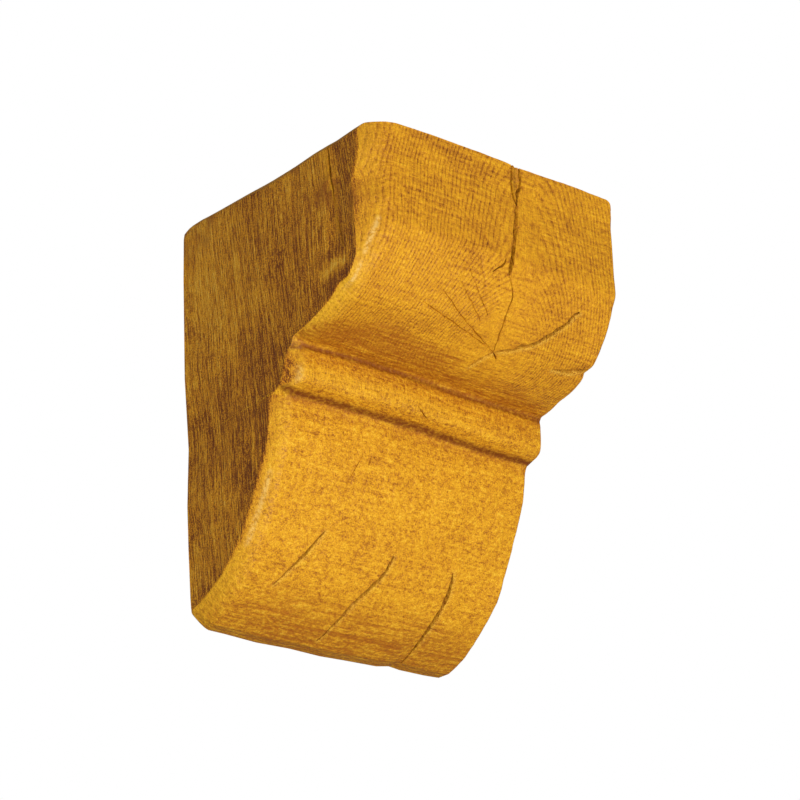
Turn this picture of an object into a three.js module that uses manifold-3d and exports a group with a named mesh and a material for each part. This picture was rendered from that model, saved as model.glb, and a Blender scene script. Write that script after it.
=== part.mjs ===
import * as THREE from "three";
import { mergeVertices } from "three/addons/utils/BufferGeometryUtils.js";
import Module from "manifold-3d";

// Wooden corbel bracket, in millimetres. The back face stands on y = 0 with the front towards -Y,
// +Z is up, and the origin is the centre of the back face.
const width = 154;
const height = 204;

// Side profile, as depths from the back face and drops from the top face.
const topDepth = 143;
const lip = { depth: 141, drop: 14 };
const fasciaFoot = { depth: 140.5, drop: 48.5 };
const upperRound = { radius: 64, depth: 83.6, drop: 92.8 };
const upperQuirk = { depth: 82.5, drop: 94.6 };
const bead = {
  head: [83.2, 96.2],
  swell: [83.4, 104],
  foot: [82.4, 108.6],
  turn: [82, 112],
  root: [75.6, 112.8],
};
const lowerQuirk = { depth: 71.4, drop: 114.4 };
const shoulder = { depth: 70.2, drop: 117.6 };
const bellyRound = { radius: 125, depth: 50.2, drop: 167 };
const toeRound = { radius: 88, depth: 6.8, drop: height };
const crown = 1.5;
const profileSteps = 9;

// Climb of the bead and its quirks towards the left, across the width, and the drops it grows and fades over.
const climb = [
  { at: -77, up: 3.2 },
  { at: -50, up: 3.2 },
  { at: 0, up: 1.8 },
  { at: 41, up: 0 },
  { at: 77, up: 0 },
];
const climbGrows = [76, 91];
const climbFades = [114.5, 130];

// Eased arrises down the front, as inward leg and leg across the front at each drop.
const wane = [
  { drop: 0, inward: 11, across: 15 },
  { drop: 14, inward: 8, across: 14 },
  { drop: 20, inward: 9.2, across: 14 },
  { drop: 27, inward: 13, across: 14 },
  { drop: 50, inward: 11.8, across: 14 },
  { drop: 60, inward: 8, across: 12 },
  { drop: 67, inward: 3.6, across: 10 },
  { drop: 74, inward: 3, across: 9 },
  { drop: 79, inward: 6, across: 9 },
  { drop: 85, inward: 4.2, across: 9 },
  { drop: 91, inward: 3.6, across: 8 },
  { drop: 94.6, inward: 2, across: 7 },
  { drop: 96, inward: 5.5, across: 6.5 },
  { drop: 101, inward: 7.8, across: 6.5 },
  { drop: 110.5, inward: 10.4, across: 7 },
  { drop: 114.4, inward: 7.6, across: 7 },
  { drop: 118, inward: 6.3, across: 8 },
  { drop: 175, inward: 6.3, across: 8 },
  { drop: 190, inward: 7.4, across: 9 },
  { drop: height, inward: 9, across: 9 },
];
const rightEase = [
  { drop: 0, inward: 4.5, across: 5 },
  { drop: 8, inward: 1.3, across: 1.8 },
  { drop: height, inward: 1.3, across: 1.8 },
];
const easePower = 1.7;

// Eased arrises of the top and the back, and the least depth that is left at the toe.
const topEase = { left: 3, right: 1.5 };
const backEase = 0.8;
const leastDepth = 2;

// Stretch of the profile that sets the way an arris wears, and the way a face looks.
const wearReach = 18;
const faceReach = 3;

// Runs that wear as one: the fascia with the ovolo, the bead, and the lower block.
const wearRuns = [
  { until: upperQuirk.drop, from: 0, to: upperRound.drop },
  { until: lowerQuirk.drop, from: bead.head[1], to: bead.foot[1] },
  { until: Infinity, from: shoulder.drop, to: height },
];

// Stations across the width, closer together where the arrises are eased.
const waneSteps = [0, 0.5, 1.2, 2.2, 3.6, 5.6, 8, 11, 15];
const easeSteps = [5, 3.2, 1.8, 0.9, 0.3, 0];
const plainSteps = 11;

// Drying checks. Each runs through points across the width and down the drop, and is a V in section.
const pith = [17.6, 83.9];
const fork = [11.6, 20.4];
const frontChecks = [
  { run: [[12.4, -3], [14.2, 9.2], [12.8, 13.6], fork], wide: 1.8, deep: 4 },
  { run: [[8.4, -3], [8.8, 10.3], [9.8, 15.6], fork], wide: 1.6, deep: 4 },
  { run: [fork, [10, 32], [8.3, 41.8]], wide: 1.6, deep: 4 },
  { run: [[8.6, 40], [7.3, 48.7], [7.4, 56.2]], wide: 2.8, deep: 4.5 },
  { run: [[7.6, 56.5], [12.2, 63], [13, 70], [14.6, 77.5], pith], wide: 1, deep: 2.5 },
  { run: [pith, [34.1, 78.6], [45, 71.7], [55.4, 61.4]], wide: 2.2, deep: 4 },
  { run: [pith, [-7.8, 79.8], [-37, 74.7]], wide: 1.3, deep: 2.5 },
  { run: [pith, [-1, 79.2], [-12.9, 75.2], [-27.7, 69]], wide: 1.3, deep: 2.5 },
  { run: [[0.8, 75.9], [-10.2, 69.8], [-20.5, 63.4]], wide: 1.1, deep: 2.5 },
  { run: [[2.7, 73], [-7.7, 65.8], [-18.6, 56.5]], wide: 1.1, deep: 2.5 },
  { run: [pith, [14.2, 86.9], [12.2, 89.5]], wide: 1.1, deep: 2.5 },
  { run: [[55.8, 83.2], [66, 82.2], [80, 79]], wide: 3.4, deep: 4 },
  { run: [[-37.7, 164.6], [-43.3, 173.6], [-53.7, 188.2]], wide: 1.6, deep: 3.5 },
  { run: [[5, 168.5], [2.3, 177.2], [-6.1, 188.8], [-12, 202.3]], wide: 1.8, deep: 4 },
  { run: [[43, 169.5], [45.2, 178], [44, 191.8], [44.6, 207]], wide: 2.2, deep: 4.5 },
  { run: [[-26.8, 130.3], [-33, 144.4]], wide: 1, deep: 2.2 },
];
const sideChecks = [{ run: [[110, -3], [112, 18], [114.5, 36]], wide: 1.8, deep: 4 }];
const checkSteps = 16;
const checkEnd = 0.3;
const cutterLift = 2;
const weld = 1e-4;

// Rounded run of the profile from where the path stands, bulging outwards.
function roundTo(path, foot) {
  const start = path.currentPoint.clone();
  const end = new THREE.Vector2(foot.depth, foot.drop);
  const chord = end.clone().sub(start);
  const rise = Math.sqrt(foot.radius ** 2 - chord.lengthSq() / 4);
  const inward = new THREE.Vector2(-chord.y, chord.x).setLength(rise);
  const centre = start.clone().add(end).multiplyScalar(0.5).add(inward);
  const from = start.sub(centre).angle();
  const to = end.sub(centre).angle();
  path.absarc(centre.x, centre.y, foot.radius, from, to, false);
}

const path = new THREE.Path();
path.moveTo(topDepth, 0);
path.lineTo(lip.depth, lip.drop);
path.lineTo(fasciaFoot.depth, fasciaFoot.drop);
roundTo(path, upperRound);
path.lineTo(upperQuirk.depth, upperQuirk.drop);
path.lineTo(...bead.head);
path.quadraticCurveTo(...bead.swell, ...bead.foot);
path.quadraticCurveTo(...bead.turn, ...bead.root);
path.lineTo(lowerQuirk.depth, lowerQuirk.drop);
path.lineTo(shoulder.depth, shoulder.drop);
roundTo(path, bellyRound);
roundTo(path, toeRound);
const profile = path.getPoints(profileSteps);

// Straight-line lookup of one size against another in a list that rises steadily.
function lookUp(list, key, at, value) {
  let i = 1;
  while (i < list.length - 1 && list[i][key] < at) i += 1;
  const share = (at - list[i - 1][key]) / (list[i][key] - list[i - 1][key]);
  return THREE.MathUtils.lerp(list[i - 1][value], list[i][value], share);
}

// Outward direction of the profile between two drops.
function outward(above, below) {
  const fall = lookUp(profile, "y", above, "x") - lookUp(profile, "y", below, "x");
  return new THREE.Vector2(below - above, fall).normalize();
}

// Way the arris wears at a drop, within its own run.
function wearWay(drop) {
  const run = wearRuns.find(({ until }) => drop <= until);
  return outward(Math.max(run.from, drop - wearReach), Math.min(run.to, drop + wearReach));
}

// Drop on the block of a point of the profile, after the climb towards the left.
function climbed(x, drop) {
  const grown = THREE.MathUtils.smoothstep(drop, ...climbGrows);
  const faded = THREE.MathUtils.smoothstep(drop, ...climbFades);
  return drop - (grown - faded) * lookUp(climb, "at", x, "up");
}

// Share of an ease that is left at a distance from the side.
const easeLeft = (away, across) => (1 - Math.min(1, away / across)) ** easePower;

// How far the front arrises are cut back at a drop, on the way to each side.
function cutBack(drop, fromLeft, fromRight) {
  const legs = (list, away) => {
    return lookUp(list, "drop", drop, "inward") * easeLeft(away, lookUp(list, "drop", drop, "across"));
  };
  return Math.max(legs(wane, fromLeft), legs(rightEase, fromRight));
}

// Closed outline of the block at one station across the width, as y and z.
function section(x) {
  const fromLeft = width / 2 + x;
  const fromRight = width / 2 - x;
  const top = Math.max(
    topEase.left * easeLeft(fromLeft, topEase.left),
    topEase.right * easeLeft(fromRight, topEase.right),
  );
  const back = backEase * easeLeft(Math.min(fromLeft, fromRight), backEase);
  const bow = crown * (1 - (2 * x / width) ** 2);
  const points = profile.map((p) => {
    const way = wearWay(p.y);
    const cut = cutBack(p.y, fromLeft, fromRight);
    const depth = p.x + bow - cut * way.x;
    const drop = Math.max(top, climbed(x, p.y) - cut * way.y);
    return new THREE.Vector2(-Math.max(depth, leastDepth), height / 2 - drop);
  });
  const toe = height - cutBack(height, fromLeft, fromRight) * wearWay(height).y;
  points.push(new THREE.Vector2(-back, height / 2 - toe));
  points.push(new THREE.Vector2(-back, height / 2 - top));
  return points;
}

// Closed mesh through a row of rings with the same number of points, capped at both ends.
function loft(rings, cap) {
  const size = rings[0].length;
  const positions = rings.flat().flatMap((p) => [p.x, p.y, p.z]);
  const faces = [];
  for (let i = 0; i + 1 < rings.length; i += 1) {
    for (let j = 0; j < size; j += 1) {
      const a = i * size + j;
      const b = i * size + (j + 1) % size;
      faces.push(a, b, b + size, a, b + size, a + size);
    }
  }
  const last = (rings.length - 1) * size;
  cap.forEach(([a, b, c]) => faces.push(a, c, b, last + a, last + b, last + c));
  const geometry = new THREE.BufferGeometry();
  geometry.setAttribute("position", new THREE.Float32BufferAttribute(positions, 3));
  geometry.setIndex(faces);
  return geometry;
}

const wasm = await Module();
wasm.setup();
function solid(geometry) {
  const merged = mergeVertices(geometry, weld);
  const mesh = new wasm.Mesh({
    numProp: 3,
    vertProperties: merged.attributes.position.array,
    triVerts: new Uint32Array(merged.index.array),
  });
  return new wasm.Manifold(mesh);
}

const stations = waneSteps.map((step) => step - width / 2);
const plainRun = width - waneSteps.at(-1) - easeSteps[0];
for (let i = 1; i < plainSteps; i += 1) {
  stations.push(stations[waneSteps.length - 1] + plainRun * i / plainSteps);
}
easeSteps.forEach((step) => stations.push(width / 2 - step));
const outlines = stations.map(section);
const cap = THREE.ShapeUtils.triangulateShape(outlines[0], []);
const turned = THREE.ShapeUtils.isClockWise(outlines[0]);
const rings = outlines.map((points, i) => points.map((p) => new THREE.Vector3(stations[i], p.x, p.y)));
let block = solid(loft(rings, turned ? cap.map(([a, b, c]) => [a, c, b]) : cap));

// Points on the front or on the left side, with the way each faces.
function onFront(x, drop) {
  const level = THREE.MathUtils.clamp(drop, 0, height);
  const way = outward(Math.max(0, level - faceReach), Math.min(height, level + faceReach));
  const depth = lookUp(profile, "y", level, "x") + crown * (1 - (2 * x / width) ** 2);
  const point = new THREE.Vector3(x, -depth, height / 2 - climbed(x, drop));
  return { point, out: new THREE.Vector3(0, -way.x, -way.y) };
}
function onSide(depth, drop) {
  const point = new THREE.Vector3(-width / 2, -depth, height / 2 - drop);
  return { point, out: new THREE.Vector3(-1, 0, 0) };
}

// V-shaped cutter along a check, widest in the middle of its run.
function cutter(check, place) {
  const run = new THREE.SplineCurve(check.run.map(([a, b]) => new THREE.Vector2(a, b)));
  const spots = run.getPoints(checkSteps).map((p) => place(p.x, p.y));
  const rows = spots.map(({ point, out }, i) => {
    const next = spots[Math.min(i + 1, checkSteps)].point;
    const along = next.clone().sub(spots[Math.max(i - 1, 0)].point);
    const across = along.cross(out).normalize();
    const share = checkEnd + (1 - checkEnd) * Math.sin(Math.PI * i / checkSteps);
    const lift = point.clone().addScaledVector(out, cutterLift);
    const half = check.wide * (share + cutterLift / check.deep) / 2;
    return [
      lift.clone().addScaledVector(across, half),
      point.clone().addScaledVector(out, -check.deep * share),
      lift.clone().addScaledVector(across, -half),
    ];
  });
  return solid(loft(rows, [[0, 1, 2]]));
}
frontChecks.forEach((check) => {
  block = block.subtract(cutter(check, onFront));
});
sideChecks.forEach((check) => {
  block = block.subtract(cutter(check, onSide));
});

const made = block.getMesh();
const geometry = new THREE.BufferGeometry();
geometry.setAttribute("position", new THREE.BufferAttribute(made.vertProperties, 3));
geometry.setIndex(new THREE.BufferAttribute(made.triVerts, 1));
const stainedWood = new THREE.MeshStandardMaterial({ color: 0xd29a3c, roughness: 0.55, metalness: 0 });
const corbel = new THREE.Mesh(geometry, stainedWood);
corbel.name = "corbel";

const part = new THREE.Group();
part.name = "corbel_bracket";
part.add(corbel);

export default part;
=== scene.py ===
import math

import bmesh
import bpy
import numpy as np
from mathutils import Matrix, Vector, kdtree, noise


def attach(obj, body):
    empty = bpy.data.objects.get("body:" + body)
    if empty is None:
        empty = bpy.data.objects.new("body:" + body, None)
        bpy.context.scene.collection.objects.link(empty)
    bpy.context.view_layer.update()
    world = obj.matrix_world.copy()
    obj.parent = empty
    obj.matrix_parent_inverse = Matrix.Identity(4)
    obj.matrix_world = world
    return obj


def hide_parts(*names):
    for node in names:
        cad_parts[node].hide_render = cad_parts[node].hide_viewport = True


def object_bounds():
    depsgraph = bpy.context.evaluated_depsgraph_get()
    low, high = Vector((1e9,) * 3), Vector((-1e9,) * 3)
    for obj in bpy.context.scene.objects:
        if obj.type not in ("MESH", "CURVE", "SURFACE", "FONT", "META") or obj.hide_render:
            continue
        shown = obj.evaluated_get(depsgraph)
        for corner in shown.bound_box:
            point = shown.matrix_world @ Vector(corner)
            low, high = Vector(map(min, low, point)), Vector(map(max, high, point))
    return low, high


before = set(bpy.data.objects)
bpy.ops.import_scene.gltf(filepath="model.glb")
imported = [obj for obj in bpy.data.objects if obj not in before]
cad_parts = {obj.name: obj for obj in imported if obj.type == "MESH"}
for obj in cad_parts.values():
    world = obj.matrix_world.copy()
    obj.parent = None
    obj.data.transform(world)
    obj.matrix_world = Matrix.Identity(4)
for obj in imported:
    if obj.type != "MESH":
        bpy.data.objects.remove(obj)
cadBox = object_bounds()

width = cadBox[1][0] - cadBox[0][0]
height = cadBox[1][2] - cadBox[0][2]
topZ = cadBox[1][2]

# side profile, depths from the wall and drops from the top, in metres
profileValues = {
    "topDepth": 0.143,
    "lip": (0.1410, 0.0140),
    "fasciaFoot": (0.1405, 0.0485),
    "upperFoot": (0.0836, 0.0928), "upperRadius": 0.064,
    "upperQuirk": (0.0825, 0.0946),
    "beadHead": (0.0832, 0.0962), "beadSwell": (0.0834, 0.1040), "beadFoot": (0.0824, 0.1086),
    "beadTurn": (0.0820, 0.1120), "beadRoot": (0.0756, 0.1128),
    "lowerQuirk": (0.0714, 0.1144), "shoulder": (0.0702, 0.1176),
    "bellyFoot": (0.0502, 0.1670), "bellyRadius": 0.125,
    "toe": (0.0068, 0.2040), "toeRadius": 0.088,
    "crown": 0.0015,
    "climbAt": (-0.077, -0.050, 0, 0.041, 0.077), "climb": (0.0032, 0.0032, 0.0018, 0, 0),
    "climbGrows": (0.076, 0.091), "climbFades": (0.1145, 0.130),
    "rows": 320, "soften": 2,
    "wearReach": 0.018,
}


def straightRun(start, end, count=40):
    share = np.linspace(0, 1, count, endpoint=False)[:, None]
    return np.array(start) * (1 - share) + np.array(end) * share


def bentRun(start, handle, end, count=40):
    share = np.linspace(0, 1, count, endpoint=False)[:, None]
    first = np.array(start) * (1 - share) + np.array(handle) * share
    second = np.array(handle) * (1 - share) + np.array(end) * share
    return first * (1 - share) + second * share


def roundRun(start, end, radius, count=160):
    start, end = np.array(start), np.array(end)
    chord = end - start
    inward = np.array([-chord[1], chord[0]]) / np.linalg.norm(chord)
    centre = (start + end) / 2 + inward * math.sqrt(radius ** 2 - chord @ chord / 4)
    first = math.atan2(*(start - centre)[::-1])
    last = math.atan2(*(end - centre)[::-1])
    turn = np.linspace(first, last, count, endpoint=False)
    return centre + radius * np.stack([np.cos(turn), np.sin(turn)], axis=1)


def averaged(values, reach):
    padded = np.concatenate([
        2 * values[0] - values[reach:0:-1], values, 2 * values[-1] - values[-2:-reach - 2:-1]])
    kernel = np.hanning(2 * reach + 3)[1:-1]
    return np.convolve(padded, kernel / kernel.sum(), mode="valid")


def outwardOf(depth, drop):
    along = np.stack([np.gradient(depth), np.gradient(drop)], axis=1)
    out = np.stack([along[:, 1], -along[:, 0]], axis=1)
    return out / np.linalg.norm(out, axis=1)[:, None]


def makeProfile():
    v = profileValues
    points = np.concatenate([
        straightRun((v["topDepth"], 0), v["lip"]),
        straightRun(v["lip"], v["fasciaFoot"]),
        roundRun(v["fasciaFoot"], v["upperFoot"], v["upperRadius"]),
        straightRun(v["upperFoot"], v["upperQuirk"]),
        straightRun(v["upperQuirk"], v["beadHead"]),
        bentRun(v["beadHead"], v["beadSwell"], v["beadFoot"]),
        bentRun(v["beadFoot"], v["beadTurn"], v["beadRoot"]),
        straightRun(v["beadRoot"], v["lowerQuirk"]),
        straightRun(v["lowerQuirk"], v["shoulder"]),
        roundRun(v["shoulder"], v["bellyFoot"], v["bellyRadius"]),
        roundRun(v["bellyFoot"], v["toe"], v["toeRadius"]),
        np.array([v["toe"]]),
    ])
    run = np.concatenate([[0], np.cumsum(np.linalg.norm(np.diff(points, axis=0), axis=1))])
    even = np.linspace(0, run[-1], v["rows"] + 1)
    depth = averaged(np.interp(even, run, points[:, 0]), v["soften"])
    drop = averaged(np.interp(even, run, points[:, 1]), v["soften"])
    return depth, drop, outwardOf(depth, drop)


# way the arris wears at each row, with the fascia and ovolo, the bead and the lower block each as one
def wearWays(depth, drop):
    v = profileValues
    ways = []
    for d in drop:
        first, last = 0, v["upperFoot"][1]
        if d > v["lowerQuirk"][1]:
            first, last = v["shoulder"][1], v["toe"][1]
        elif d > v["upperQuirk"][1]:
            first, last = v["beadHead"][1], v["beadFoot"][1]
        above, below = max(first, min(d, last) - v["wearReach"]), min(last, max(d, first) + v["wearReach"])
        way = np.array([below - above, np.interp(above, drop, depth) - np.interp(below, drop, depth)])
        ways.append(way / np.linalg.norm(way))
    return np.array(ways)


def smoothStep(value, low, high):
    share = np.clip((value - low) / (high - low), 0, 1)
    return share * share * (3 - 2 * share)


# the bead and its quirks climb towards the left
def climbed(x, drop):
    v = profileValues
    within = smoothStep(drop, *v["climbGrows"]) - smoothStep(drop, *v["climbFades"])
    return drop - within * np.interp(x, v["climbAt"], v["climb"])


def beforeClimb(x, drop):
    level = drop
    for n in range(5):
        level = drop + level - climbed(x, level)
    return level


rowDepth, rowDrop, rowOut = makeProfile()
rowWear = wearWays(rowDepth, rowDrop)
print("profile rows:", len(rowDepth))

# eased and worn arrises in metres: legs by drop, sag of the top by depth and by width, wander of the edges
arrisValues = {
    "waneDrop": (0, 0.014, 0.020, 0.027, 0.050, 0.060, 0.067, 0.074, 0.079, 0.085, 0.091, 0.0946, 0.096,
                 0.101, 0.1105, 0.1144, 0.118, 0.175, 0.190, 0.204),
    "waneInward": (0.0110, 0.0080, 0.0092, 0.0130, 0.0118, 0.0080, 0.0036, 0.0030, 0.0060, 0.0042, 0.0036,
                   0.0020, 0.0055, 0.0078, 0.0104, 0.0076, 0.0063, 0.0063, 0.0074, 0.0090),
    "waneAcross": (0.015, 0.014, 0.014, 0.014, 0.014, 0.012, 0.010, 0.009, 0.009, 0.009, 0.008, 0.007,
                   0.0065, 0.0065, 0.007, 0.007, 0.008, 0.008, 0.009, 0.009),
    "rightDrop": (0, 0.008, 0.204),
    "rightInward": (0.0020, 0.0013, 0.0013), "rightAcross": (0.003, 0.0018, 0.0018),
    "topLeft": 0.003, "topRight": 0.0036, "topRightAcross": 0.0055, "back": 0.0008, "power": 1.7,
    "unevenness": 0.12, "unevenSize": 0.012,
    "sagDepth": (0, 0.0018, 0.005, 0.010, 0.020, 0.045, 0.067, 0.085, 0.101, 0.111, 0.125, 0.143),
    "sag": (0.0012, 0.0001, -0.0013, -0.0018, -0.0007, 0.0010, 0.0024, 0.0021, 0.0009, 0.0010, 0.0004, 0),
    "sagAcross": 0.012, "sagReach": 0.022,
    "browAt": (-0.030, 0.004, 0.012, 0.030, 0.045), "brow": (0, 0.0002, 0.0009, 0.0008, 0),
    "browFrom": 0.110, "browFade": 0.020,
    "leftDrop": (-0.001, 0.001, 0.003, 0.006, 0.028, 0.080, 0.116, 0.145, 0.166, 0.190, 0.198, 0.204),
    "leftIn": (0.0024, 0.0014, 0.0007, 0.0002, -0.0004, -0.0008, 0.0008, -0.0006, -0.0004, 0.0002, 0.0008,
               0.0028),
    "leftReach": 0.05, "leftAcross": 0.03,
    "footAt": (-0.077, -0.057, -0.038, -0.019, 0, 0.015, 0.035, 0.043, 0.050, 0.066, 0.077),
    "footUp": (0.0012, 0.0006, -0.0004, -0.0001, -0.0008, -0.0004, -0.0001, 0.0012, 0.0004, 0.0002, 0.0006),
    "footReach": 0.014,
    "edgeDrop": (0.050, 0.055, 0.060, 0.066, 0.072, 0.0764, 0.0780, 0.0790, 0.0806, 0.0817, 0.0830, 0.0842,
                 0.087, 0.0905, 0.0925, 0.095, 0.118, 0.126, 0.132, 0.137, 0.144, 0.152, 0.160, 0.167, 0.171,
                 0.177, 0.184, 0.190, 0.195, 0.199, 0.204),
    "edge": (0, -0.0005, 0, 0.0004, 0.0009, 0.0015, 0.0016, 0.0010, -0.0004, -0.0014, 0, 0.0005,
             0, -0.0008, 0.0004, 0, 0, 0.0003, 0.0008, 0.0005, -0.0002, -0.0008, -0.0002, 0, 0.0009,
             0.0011, 0.0005, 0.0002, 0.0004, 0.0009, 0),
    "edgeAcross": 0.016,
}
# pitches of the mesh and unevenness of the faces, in metres
meshValues = {
    "finePitch": 0.0005, "plainPitch": 0.00098,
    "fineLeft": 0.016, "fineRight": 0.004,
    "backSteps": 27, "backPower": 1.3, "backFine": (0.966, 0.978, 0.988, 0.995),
    "hewn": 0.0005, "hewnSize": 0.045,
    "dents": 0.00026, "dentSize": 0.011,
    "tooth": 0.00012, "toothSize": 0.0028,
    "flake": 0.0011, "flakeDepth": (0.1115, 0.114, 0.130), "flakeDrop": (0.050, 0.066),
    "flakeAcross": 0.004,
    "wallGap": 0.002, "sharpAngle": 64,
}


def columnsAcross():
    v = meshValues
    left = np.arange(0, v["fineLeft"], v["finePitch"])
    right = width - np.arange(0, v["fineRight"], v["finePitch"])[::-1]
    count = int((width - v["fineLeft"] - v["fineRight"]) / v["plainPitch"])
    middle = np.linspace(left[-1], right[0], count + 2)[1:-1]
    return np.concatenate([left, middle, right]) - width / 2


def easeLeft(away, across):
    return np.clip(1 - away / across, 0, 1) ** arrisValues["power"]


def relief(point, size, stretch=1.0):
    return noise.fractal(Vector((point[0] / size, point[1] / size, point[2] / size * stretch)), 1.0, 2.0, 3)


# the block as a lattice: i across, j from front to back, k down the profile
def makeBlock():
    v, a = meshValues, arrisValues
    columns = columnsAcross()
    share = np.sort(np.append(np.linspace(0, 1, v["backSteps"]) ** v["backPower"], v["backFine"]))
    across, steps, down = len(columns), len(share), len(rowDepth)
    fromLeft = (columns + width / 2)[:, None]
    fromRight = (width / 2 - columns)[:, None]
    ragged = [noise.noise(Vector((0, 3.7, d / a["unevenSize"]))) for d in rowDrop]
    ragged = 1 + a["unevenness"] * np.array(ragged)
    inward = np.interp(rowDrop, a["waneDrop"], a["waneInward"]) * ragged
    legs = np.interp(rowDrop, a["waneDrop"], a["waneAcross"]) * ragged
    rightInward = np.interp(rowDrop, a["rightDrop"], a["rightInward"])
    rightLegs = np.interp(rowDrop, a["rightDrop"], a["rightAcross"])
    cut = np.maximum(inward * easeLeft(fromLeft, legs), rightInward * easeLeft(fromRight, rightLegs))
    top = np.maximum(a["topLeft"] * easeLeft(fromLeft, a["topLeft"]),
                     a["topRight"] * easeLeft(fromRight, a["topRightAcross"]))
    inset = a["back"] * easeLeft(np.minimum(fromLeft, fromRight), a["back"])
    bow = profileValues["crown"] * (1 - (2 * columns / width) ** 2)[:, None]
    edge = np.interp(rowDrop, a["edgeDrop"], a["edge"]) * easeLeft(fromRight, a["edgeAcross"])
    depth = rowDepth + bow - cut * rowWear[:, 0] + edge * rowOut[:, 0]
    drop = climbed(columns[:, None], rowDrop[None, :]) - cut * rowWear[:, 1] + edge * rowOut[:, 1]
    drop = np.maximum(drop, top)
    front = np.stack([np.repeat(columns[:, None], down, axis=1), -depth, topZ - drop], axis=2)

    bumps = np.array([
        v["hewn"] * relief(p, v["hewnSize"]) + v["dents"] * relief(p, v["dentSize"], 0.6)
        + v["tooth"] * relief(p, v["toothSize"], 0.4)
        for p in front.reshape(-1, 3)]).reshape(across, down)
    front[:, :, 1] -= bumps * rowOut[:, 0]
    front[:, 1:, 2] -= (bumps * rowOut[:, 1])[:, 1:]
    front[:, :, 1] = np.minimum(front[:, :, 1], -v["wallGap"])

    levels = np.linspace(0, 1, down)
    toe = height - cut[:, -1:] * rowWear[-1, 1]
    backDrop = top + levels * (toe - top)
    back = np.stack([front[:, :, 0], np.repeat(-inset, down, axis=1), topZ - backDrop], axis=2)

    number = -np.ones((across, steps, down), dtype=int)
    shell = np.zeros_like(number, dtype=bool)
    shell[:, 0, :] = shell[0] = shell[-1] = shell[:, :, 0] = shell[:, :, -1] = True
    number[shell] = np.arange(shell.sum())
    i, j, k = np.nonzero(shell)
    mix = share[j][:, None]
    points = front[i, k] * (1 - mix) + back[i, k] * mix

    sideways = (i == 0) | (i == across - 1)
    for n in np.nonzero(sideways & (j > 0) & (j < steps - 1) & (k > 0) & (k < down - 1))[0]:
        p = points[n]
        push = v["hewn"] * relief(p, v["hewnSize"]) + v["dents"] * relief(p, v["dentSize"], 0.3)
        points[n, 0] += push * (1 if i[n] else -1)
    wearPoints(points)

    faces = []

    def addGrid(grid, flip):
        a, b, c, d = grid[:-1, :-1], grid[1:, :-1], grid[1:, 1:], grid[:-1, 1:]
        order = (a, d, c, b) if flip else (a, b, c, d)
        faces.extend(np.stack(order, axis=-1).reshape(-1, 4).tolist())

    addGrid(number[:, 0, :], True)
    addGrid(number[0], True)
    addGrid(number[-1], False)
    addGrid(number[:, :, 0], False)
    addGrid(number[:, :, -1], True)
    last = number[:, -1, :]
    faces.append([*last[:, 0].tolist(), last[-1, 1], last[0, 1]])
    faces.append([*last[::-1, -1].tolist(), last[0, -2], last[-1, -2]])
    for row in range(1, down - 2):
        faces.append([last[0, row], last[-1, row], last[-1, row + 1], last[0, row + 1]])

    mesh = bpy.data.meshes.new("corbelMesh")
    mesh.from_pydata(points.tolist(), [], faces)
    mesh.validate()
    obj = bpy.data.objects.new("corbelBlock", mesh)
    bpy.context.collection.objects.link(obj)
    body = bmesh.new()
    body.from_mesh(mesh)
    bmesh.ops.recalc_face_normals(body, faces=body.faces)
    body.to_mesh(mesh)
    body.free()
    return obj


# worn top arris, wandering back edge and foot, and the flaked strip behind the left front arris
def wearPoints(points):
    a, v = arrisValues, meshValues
    x, depth, drop = points[:, 0].copy(), -points[:, 1], topZ - points[:, 2]
    fromLeft = x + width / 2
    sag = np.interp(depth, a["sagDepth"], a["sag"]) * easeLeft(fromLeft, a["sagAcross"])
    points[:, 2] -= sag * np.clip(1 - drop / a["sagReach"], 0, 1)
    nearLeft = np.clip(1 - fromLeft / a["leftAcross"], 0, 1) * np.clip(1 - depth / a["leftReach"], 0, 1)
    points[:, 0] += np.interp(drop, a["leftDrop"], a["leftIn"]) * nearLeft
    nearFoot = np.clip(1 - (height - drop) / a["footReach"], 0, 1)
    points[:, 2] += np.interp(x, a["footAt"], a["footUp"]) * nearFoot
    brow = np.interp(x, a["browAt"], a["brow"]) * np.clip((depth - a["browFrom"]) / a["browFade"], 0, 1)
    points[:, 2] -= brow * np.clip(1 - drop / a["sagReach"], 0, 1)
    strip = np.interp(depth, v["flakeDepth"], (0, 1, 0)) * np.interp(drop, v["flakeDrop"], (1, 0))
    points[:, 0] += v["flake"] * strip * np.clip(1 - fromLeft / v["flakeAcross"], 0, 1)


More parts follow.
